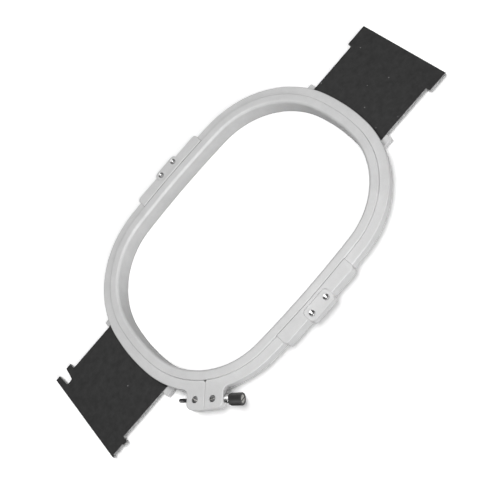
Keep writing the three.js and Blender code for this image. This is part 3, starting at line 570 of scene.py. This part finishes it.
# lugs beside the arms
lug = {"near": 51.9, "width": 7.3, "reach": 10.6, "tuck": 1, "bottom": 2.5, "overlap": 0.3, "round": 1.4, "edge": 0.4}
near, far, out = lug["near"], lug["near"] + lug["width"], seamEnd + lug["reach"]
for turn in (1, -1):
    for side in (-1, 1):
        shape = roundOutline([
            (side * ringX(near, lug["tuck"]), turn * near), (side * out, turn * near, lug["round"]),
            (side * out, turn * far, lug["round"]), (side * ringX(far, lug["tuck"]), turn * far)])
        tools.append((slab("lug", shape, lug["bottom"], bottom + lug["overlap"], lug["edge"]), "UNION"))

# clamp: two ears at one corner, with a split between them. Its frame has X out of the corner
# and Y across the split; the screw's frame is tilted in it, with Z along the screw
ears = {"heading": 225, "width": 19.6, "reach": 18.3, "edge": 0.9, "corner": 6.5, "cornerSteps": 8,
        "fillet": 5.5, "filletSteps": 7, "tipSteps": 14, "footRound": 3, "footHeight": 8, "footSteps": 6,
        "splitShift": 2.8}
screwLine = {"reach": 8, "height": 12.5, "tilt": 1.7, "way": 2.3, "waySides": 32, "wayPast": 8}
outerFace = seam["cornerRadius"] + wall
earEdge, earTip, screwOut = ears["width"], outerFace + ears["reach"], outerFace + screwLine["reach"]
clampSpot = Matrix.Translation((-seam["cornerX"], -seam["cornerY"], 0)) @ turnAbout("Z", ears["heading"])
clampSpot = clampSpot @ Matrix.Translation((0, ears["splitShift"], 0))
screwTurn = turnAbout("Z", -screwLine["tilt"]) @ turnAbout("X", -90)
screwSpot = clampSpot @ Matrix.Translation((screwOut, 0, screwLine["height"])) @ screwTurn


# both ears in plan: fillets at the ring, rounded corners, and a tip on an arc round the corner's centre
def earOutline():
    shift, corner, fillet = ears["splitShift"], ears["corner"], ears["fillet"]
    roots, corners, angles = [], [], []
    for side in (-1, 1):
        across = side * (earEdge + fillet) + shift
        out = math.sqrt((outerFace + fillet) ** 2 - across ** 2)
        start = math.degrees(math.atan2(-across, -out)) % 360
        points = arcPoints(out, across - shift, fillet, start, 270 if side > 0 else 90, ears["filletSteps"])
        roots.append(points[::-side])
        across = side * (earEdge - corner) + shift
        out = math.sqrt((earTip - corner) ** 2 - across ** 2)
        angle = math.degrees(math.atan2(across, out))
        points = arcPoints(out, across - shift, corner, side * 90, angle, ears["cornerSteps"])
        corners.append(points[::-side])
        angles.append(angle)
    tip = [(x, y - shift) for x, y in arcPoints(0, 0, earTip, *angles, ears["tipSteps"])[1:-1]]
    root = seam["cornerRadius"] + ears["edge"]
    return [(root, roots[0][0][1]), *roots[0], *corners[0], *tip, *corners[1], *roots[1], (root, roots[1][-1][1])]


def inClamp(piece):
    piece.data.transform(Matrix.Scale(0.001, 4) @ clampSpot @ Matrix.Scale(1000, 4))
    return piece


feet = slab("ear_feet", earOutline(), bottom, bottom + ears["footHeight"], ears["footRound"], ears["footSteps"])
tools.append((inClamp(feet), "UNION"))
tools.append((inClamp(slab("ears", earOutline(), bottom + ears["footRound"], top, ears["edge"])), "UNION"))

# cross barrels that the screw runs through, in flared holes; each has its place across the
# split and the angle that its slot was left at
# the highlight keys place the bright steel that paints in the light caught in each slot
barrel = {"radius": 3.1, "half": 4.3, "edge": 0.4, "edgeSteps": 4, "sides": 64,
          "hole": 3.35, "flare": 0.35, "flareSteps": 4, "holeSpan": (7.9, 21), "holeSides": 48,
          "slotWidth": 0.9, "slotDepth": 0.8, "slotPast": (5, 2), "wayPast": 6,
          "highlightPast": 0.05, "highlightSide": 0.02, "highlightFloor": 0.01, "brightFacing": 0.99}
barrels = {"threaded_barrel": (-10.5, -26), "plain_barrel": (8.3, 18)}
radius, flare = barrel["hole"], barrel["flare"]
floor, above = barrel["holeSpan"]
flank = [(radius + flare - x, top - flare + z) for x, z in arcPoints(0, 0, flare, 0, 90, barrel["flareSteps"])]
for y, _ in barrels.values():
    hole = lathe("barrel_hole", [
        (0, floor), (radius, floor), (radius, top - flare), *flank, (radius + flare, above), (0, above),
    ], barrel["holeSides"])
    hole.data.transform(Matrix.Translation((screwOut / 1000, y / 1000, 0)))
    tools.append((inClamp(hole), "DIFFERENCE"))
past = earEdge + screwLine["wayPast"]
way = slab("screw_way", circle(screwLine["way"], screwLine["waySides"]), -past, past)
tools.append((standIn(screwSpot, way), "DIFFERENCE"))

# split between the ears, its edges rounded along the top and down the tip, with a small notch at
# the ring. "low" and "high" are where its cutters begin and end, the others how far they run past
split = {"gap": 0.02, "round": 0.8, "roundSteps": 5, "lean": 22, "low": 5, "high": 21, "past": 5,
         "tipIn": 9, "tipOut": 3, "notch": 1.75, "notchTip": 0.2}
flare, lean, low, high = (split[key] for key in ("round", "lean", "low", "high"))
half = split["gap"] / 2
reach = half + flare * math.cos(math.radians(lean))
bend = arcPoints(0, 0, flare, lean, 90, split["roundSteps"])
flank = [(reach - y, top - flare + z) for y, z in bend]
shape = [(-half, low), (half, low), *flank, (reach, high), (-reach, high), *[(-y, z) for y, z in flank[::-1]]]
splitTop = slab("split_top", shape, seam["cornerRadius"] - split["past"], earTip + split["past"])
splitTop.data.transform(Matrix(((0, 0, 1, 0), (1, 0, 0, 0), (0, 1, 0, 0), (0, 0, 0, 1))))  # lays it along X
tools.append((inClamp(splitTop), "DIFFERENCE"))
flank = [(earTip - flare + x, reach - y) for y, x in bend]
inside, outside = earTip - split["tipIn"], earTip + split["tipOut"]
shape = [(inside, -half), *[(x, -y) for x, y in flank], (outside, -reach)]
shape += [(outside, reach), *flank[::-1], (inside, half)]
tools.append((inClamp(slab("split_tip", shape, low, high)), "DIFFERENCE"))
notch, tip, ring = split["notch"], split["notchTip"], seam["cornerRadius"]
shape = [(ring - notch, -2 * notch), (ring + notch, -tip), (ring + notch, tip), (ring - notch, 2 * notch)]
tools.append((inClamp(slab("relief", shape, low, high)), "DIFFERENCE"))
combine(outer, tools)
dress(crisp(outer), mouldedNylon, "hoop_plastic", "hoop_frame", "outer_hoop")
print("stage: outer ring made")

# arms: black sheet, sawn square; the far side is +Y and the near side -Y. Lengths such as
# "leftFar" run in from the arm's end, and halves out from the hoop's middle line
arm = {
    "end": 248.1, "bottom": 4, "top": 7, "half": 51.6, "tuck": 1, "insideSteps": 8, "edge": 0.12, "edgeSteps": 3,
    "round": 0.45, "stepDegrees": 9, "leftFar": 23.6, "leftNear": 21.7, "rightFar": 25.1, "rightNear": 22.9,
    "shoulderHalf": 56.6, "fingerHalf": 58.6, "tabHalf": 58.2, "farFinger": 6.0, "nearFinger": 2.6, "nearTab": 5,
    "mouth": 10.5, "notchFloor": 7.7, "notchLean": 0.55, "notchDepth": 15.2, "notchRound": 2.6,
    "sawnAbove": 1, "sawnSlope": 0.8,
}
end, half, small = arm["end"], arm["half"], arm["round"]
shoulderY, fingerY, tabY = arm["shoulderHalf"], arm["fingerHalf"], arm["tabHalf"]
steps = arm["insideSteps"]
insideEdge = [(ringX(half * k / steps, arm["tuck"]), half * k / steps, 0) for k in range(-steps, steps + 1)]
notchOut = end - arm["farFinger"]
notchIn = notchOut - arm["mouth"]
slope, lean, floorY = (arm["mouth"] - arm["notchFloor"]) / 2, arm["notchLean"], fingerY - arm["notchDepth"]
leftFar, leftNear, rightFar, rightNear = (end - arm[key] for key in ("leftFar", "leftNear", "rightFar", "rightNear"))
fingerX, tabX = end - arm["nearFinger"], leftNear + arm["nearTab"]
armEnds = {
    "left_arm": (-1, [
        (leftFar, half, small), (leftFar, fingerY, small), (notchIn, fingerY, small),
        (notchIn + slope + lean, floorY, arm["notchRound"]), (notchOut - slope + lean, floorY, arm["notchRound"]),
        (notchOut, fingerY, small), (end, fingerY, small), (end, -tabY, small), (fingerX, -tabY, small),
        (fingerX, -shoulderY, small), (tabX, -shoulderY, small), (tabX, -tabY, small), (leftNear, -tabY, small),
        (leftNear, -half, small)]),
    "right_arm": (1, [
        (rightFar, half, small), (rightFar, shoulderY, small), (end, shoulderY, small), (end, -shoulderY, small),
        (rightNear, -shoulderY, small), (rightNear, -half, small)]),
}
armScrew = {"count": 4, "pitch": 28.6, "inset": 5.4, "hole": 2.05, "holeSides": 32, "holeSpan": (0, 10),
            "head": 3.3, "headHeight": 1.9, "edge": 0.6, "edgeSteps": 5, "shank": 1.75, "depth": 10.6, "sides": 48,
            "socket": 1.62, "socketDepth": 1.2, "socketPast": -5}
armScrewRows = [armScrew["pitch"] * (i - (armScrew["count"] - 1) / 2) for i in range(armScrew["count"])]
armScrewPlaces = [(ringX(y, armScrew["inset"]), y) for y in armScrewRows]
for name, (side, corners) in armEnds.items():
    outline = roundOutline([(side * x, y, radius) for x, y, radius in insideEdge + corners], arm["stepDegrees"])
    sheet = slab(name + "_sheet", outline, arm["bottom"], arm["top"], arm["edge"], arm["edgeSteps"])
    holes = [circle(armScrew["hole"], armScrew["holeSides"], side * x, y) for x, y in armScrewPlaces]
    combine(sheet, [(slab("hole", hole, *armScrew["holeSpan"]), "DIFFERENCE") for hole in holes])
    dress(crisp(sheet), blackAnodise, "arm_black", "hoop_frame", name)
    sheet.data.materials.append(sawnAluminium)
    sawnFrom = (arm["bottom"] + arm["sawnAbove"]) / 1000
    for polygon in sheet.data.polygons:
        if abs(polygon.normal.z) < arm["sawnSlope"] and polygon.center.z > sawnFrom:
            polygon.material_index = 1
print("stage: arms made")

# side plates, let into the bars, and their screws with polished heads that are dished like a lens
turnedCrease = 40  # degrees; turned pieces keep their drawn edges crisp over it
plateScrew = {"head": 3.0, "height": 1.3, "edge": 0.25, "edgeSteps": 5, "dish": 0.7,
              "dishRadii": (2.4, 2.05, 1.7, 1.35, 1, 0.65, 0.3, 0), "shank": 1.5, "depth": 5.2, "sides": 64}
fit, head, rim = sidePlate["fit"], plateScrew["head"], plateScrew["edge"]
half, corner, low = sidePlate["half"] + fit, sidePlate["corner"] + fit, plateInner - fit
padShape = roundOutline([
    (-half, low, corner), (half, low, corner), (half, plateOuter, corner), (-half, plateOuter, corner)])
shank, depth, seat = plateScrew["shank"], plateScrew["depth"], sidePlate["thick"]
crown = seat + plateScrew["height"]
dish = [(x, crown - plateScrew["dish"] * (1 - (x / (head - rim)) ** 2)) for x in plateScrew["dishRadii"]]
for name, turn in (("rear_plate", 1), ("front_plate", -1)):
    spun = [(turn * x, turn * y) for x, y in padShape]
    pad = slab(name + "_pad", spun, plateBottom, sidePlate["top"], sidePlate["edge"])
    holes = []
    for side in (-1, 1):
        hole = circle(sidePlate["hole"], sidePlate["holeSides"], side * plateScrewX, turn * plateScrewY)
        holes.append((slab("hole", hole, *sidePlate["holeSpan"]), "DIFFERENCE"))
    combine(pad, holes)
    dress(crisp(pad), mouldedNylon, "hoop_plastic", "hoop_frame", name)
    for side, where in ((-1, "left"), (1, "right")):
        fastener = lathe(name + "_fastener_" + where, [
            (0, -depth), (shank, -depth), (shank, seat), (head, seat),
            *rounded(head, crown, rim, 0, plateScrew["edgeSteps"]), *dish], plateScrew["sides"])
        crisp(fastener, turnedCrease)
        fastener.location = (side * plateScrewX / 1000, turn * plateScrewY / 1000, plateBottom / 1000)
        dress(fastener, turnedSteel, "bright_metal", "hoop_frame", name + "_screw_" + where)
print("stage: side plates made")

# screws under the arms, with a hexagon socket
head, height, rim, shank, depth = (armScrew[key] for key in ("head", "headHeight", "edge", "shank", "depth"))
for name, (side, _) in armEnds.items():
    for number, (x, y) in enumerate(armScrewPlaces, 1):
        fastener = lathe(f"{name}_fastener_{number}", [
            (0, -height), *rounded(head, -height, rim, 3, armScrew["edgeSteps"]),
            (head, 0), (shank, 0), (shank, depth), (0, depth)], armScrew["sides"])
        hexagon = circle(armScrew["socket"], 6)
        socket = slab("socket", hexagon, armScrew["socketPast"], armScrew["socketDepth"] - height)
        combine(fastener, [(socket, "DIFFERENCE")])
        crisp(fastener, turnedCrease)
        fastener.location = (side * x / 1000, y / 1000, arm["bottom"] / 1000)
        dress(fastener, blackOxide, "dark_steel", "hoop_frame", f"{name}_screw_{number}")
print("stage: arm screws made")

# the barrels; the walls and the floor of the slot in their upper ends are painted bright steel: a painted highlight
# where the slot catches the light
radius, half, rim = barrel["radius"], barrel["half"], barrel["edge"]
wide, floor = barrel["slotWidth"] / 2, half - barrel["slotDepth"]
# where the slot's painted highlight begins, and how far across the slot it reaches
slotHighlightFrom, slotHighlightWithin = (floor - barrel["highlightPast"]) / 1000, (wide + barrel["highlightSide"]) / 1000
past, above = barrel["slotPast"]
for name, (y, turn) in barrels.items():
    pin = lathe(name + "_pin", [
        (0, -half), (radius - rim, -half), (radius, -half + rim),
        *rounded(radius, half, rim, 0, barrel["edgeSteps"]), (0, half)], barrel["sides"])
    hole = slab("hole", circle(screwLine["way"], screwLine["waySides"]), -barrel["wayPast"], barrel["wayPast"])
    hole.matrix_world = screwTurn
    slot = slab("slot", rectangle(wide, past), floor, half + above)
    slot.matrix_world = turnAbout("Z", turn)
    combine(pin, [(hole, "DIFFERENCE"), (slot, "DIFFERENCE")])
    crisp(pin, turnedCrease)
    standIn(clampSpot @ Matrix.Translation((screwOut, y, screwLine["height"])), pin)
    dress(pin, blackOxide, "dark_steel", "hoop_frame", name)
    pin.data.materials.append(wornSteelAndHighlight)
    across = Vector((math.cos(math.radians(turn)), math.sin(math.radians(turn)), 0))
    # slot faces that get the bright steel, which paints in the highlight that the slot catches
    for polygon in pin.data.polygons:
        centre = polygon.center
        inWalls = centre.z > slotHighlightFrom and abs(centre.dot(across)) < slotHighlightWithin
        onFloor = abs(centre.z - floor / 1000) < barrel["highlightFloor"] / 1000
        if onFloor or inWalls and polygon.normal.z < barrel["brightFacing"]:
            polygon.material_index = 1

# collar, washer and knob follow each other out from the ear
collar = {"clear": 0.36, "bore": 2.3, "neck": 4.5, "neckLength": 2.3, "flange": 5.4, "length": 4.95,
          "edge": 0.35, "edgeSteps": 4, "sides": 96, "crease": 50}
start, bore, rim, steps = earEdge + collar["clear"], collar["bore"], collar["edge"], collar["edgeSteps"]
step, stop = start + collar["neckLength"], start + collar["length"]
ring = lathe("clamp_collar_ring", [
    (bore, start), *rounded(collar["neck"], start, rim, 3, steps), (collar["neck"], step),
    *rounded(collar["flange"], step, rim, 3, steps), *rounded(collar["flange"], stop, rim, 0, steps),
    (bore, stop)], collar["sides"])
crisp(standIn(screwSpot, ring), collar["crease"])
dress(ring, chromePlate, "bright_metal", "clamp_carriage", "clamp_collar")

washer = {"clear": 0.2, "bore": 2.3, "radius": 5.6, "thick": 0.8, "edge": 0.1, "sides": 64}
start = stop + washer["clear"]
stop = start + washer["thick"]
bore, radius, rim = washer["bore"], washer["radius"], washer["edge"]
ring = lathe("clamp_washer_ring", [
    (bore, start), (radius - rim, start), (radius, start + rim),
    (radius, stop - rim), (radius - rim, stop), (bore, stop)], washer["sides"])
crisp(standIn(screwSpot, ring), turnedCrease)
dress(ring, blackOxide, "dark_steel", "clamp_carriage", "clamp_washer")

# knob: straight knurls that run out at the rounded ends, and a recess for the screw's head.
# "foot" gives its rounded start as (inset, height), "rows" the heights of the rings between
knob = {"clear": 0.2, "length": 12.25, "bore": 2.3, "radius": 6.05, "tooth": 0.42, "teeth": 36, "perTooth": 6,
        "foot": ((0.5, 0), (0.12, 0.15), (0, 0.5)), "rows": (3, 6, 9), "round": 0.75, "roundSteps": 5,
        "dish": 4.2, "dishDepth": 1.5, "lip": 0.15, "knurlWithin": 0.3, "crease": 35}
start = stop + knob["clear"]
stop = start + knob["length"]
dishFloor = stop - knob["dishDepth"]
bore, outside, dish, lip = knob["bore"], knob["radius"], knob["dish"], knob["lip"]
profile = [(bore, dishFloor), (bore, start)]
profile += [(outside - inset, start + z) for inset, z in knob["foot"]]
profile += [(outside, start + z) for z in knob["rows"]]
profile += rounded(outside, stop, knob["round"], 0, knob["roundSteps"])
profile += [(dish + lip, stop), (dish, stop - lip), (dish, dishFloor)]
count = knob["teeth"] * knob["perTooth"]
points = []
for radius, z in profile:
    depth = knob["tooth"] if radius > outside - knob["knurlWithin"] else 0
    for i in range(count):
        angle = 2 * math.pi * i / count
        cut = depth * (0.5 - 0.5 * math.cos(angle * knob["teeth"]))
        points.append(((radius - cut) * math.cos(angle), (radius - cut) * math.sin(angle), z))
faces = []
for row in range(len(profile)):
    low, high = row * count, (row + 1) % len(profile) * count
    faces += [(low + i, high + i, high + (i + 1) % count, low + (i + 1) % count) for i in range(count)]
gripBody = crisp(addObject("clamp_knob_grip", points, faces), knob["crease"])
dress(standIn(screwSpot, gripBody), blackNylon, "knob_black", "clamp_spindle", "clamp_knob")

# screw: a thread wound as a height field, then a plain shank through the knob to a slotted head,
# whose end is rubbed bright. "flank" and "flat" shape a tooth, "lead" tapers the thread's first turns
thread = {"tip": -30.0, "major": 1.98, "depth": 0.38, "pitch": 0.7, "flank": 2.4, "flat": 0.1, "lead": 0.5,
          "columns": 36, "perPitch": 7, "runOut": 0.2, "clear": 0.2, "head": 3.95, "headHeight": 1.05,
          "headEdge": 0.3, "slotWidth": 1.2, "slotDepth": 0.6, "slotTurn": -48, "slotPast": (5, 1),
          "crease": 60, "brightFacing": 0.3}
tip, major, columns, rise = thread["tip"], thread["major"], thread["columns"], thread["pitch"] / thread["perPitch"]
rows = round((earEdge - tip) / rise)
points = [(0, 0, tip)]
for i in range(rows + 1):
    z = tip + i * rise
    taper = min(0.0, (z - tip) - thread["lead"])
    for k in range(columns):
        phase = (z / thread["pitch"] - k / columns) % 1
        tooth = min(1.0, max(0.0, thread["flank"] * abs(phase - 0.5) - thread["flat"]))
        radius = major - thread["depth"] * tooth + taper
        angle = 2 * math.pi * k / columns
        points.append((radius * math.cos(angle), radius * math.sin(angle), z))
head, rim, start = thread["head"], thread["headEdge"], dishFloor + thread["clear"]
stop = start + thread["headHeight"]
plain = [(major, z + thread["runOut"]), (major, start), (head, start), (head, stop - rim), (head - rim, stop)]
for radius, z in plain:
    points += [(x, y, z) for x, y in circle(radius, columns)]
points.append((0, 0, stop))
last = len(points) - 1
faces = [(0, 1 + (k + 1) % columns, 1 + k) for k in range(columns)]
for i in range(rows + len(plain)):
    for k in range(columns):
        low, follow = 1 + i * columns, (k + 1) % columns
        faces.append((low + k, low + follow, low + columns + follow, low + columns + k))
faces += [(last, last - columns + k, last - columns + (k + 1) % columns) for k in range(columns)]
screw = addObject("clamp_screw_thread", points, faces)
past, above = thread["slotPast"]
slot = slab("slot", rectangle(past, thread["slotWidth"] / 2), stop - thread["slotDepth"], stop + above)
slot.matrix_world = turnAbout("Z", thread["slotTurn"])
combine(screw, [(slot, "DIFFERENCE")])
crisp(screw, thread["crease"])
dress(standIn(screwSpot, screw), blackOxide, "dark_steel", "clamp_spindle", "clamp_screw")
screw.data.materials.append(wornSteelAndHighlight)
for polygon in screw.data.polygons:
    if polygon.center.z > (stop - rim) / 1000 and polygon.normal.z > thread["brightFacing"]:
        polygon.material_index = 1
print("stage: clamp made")
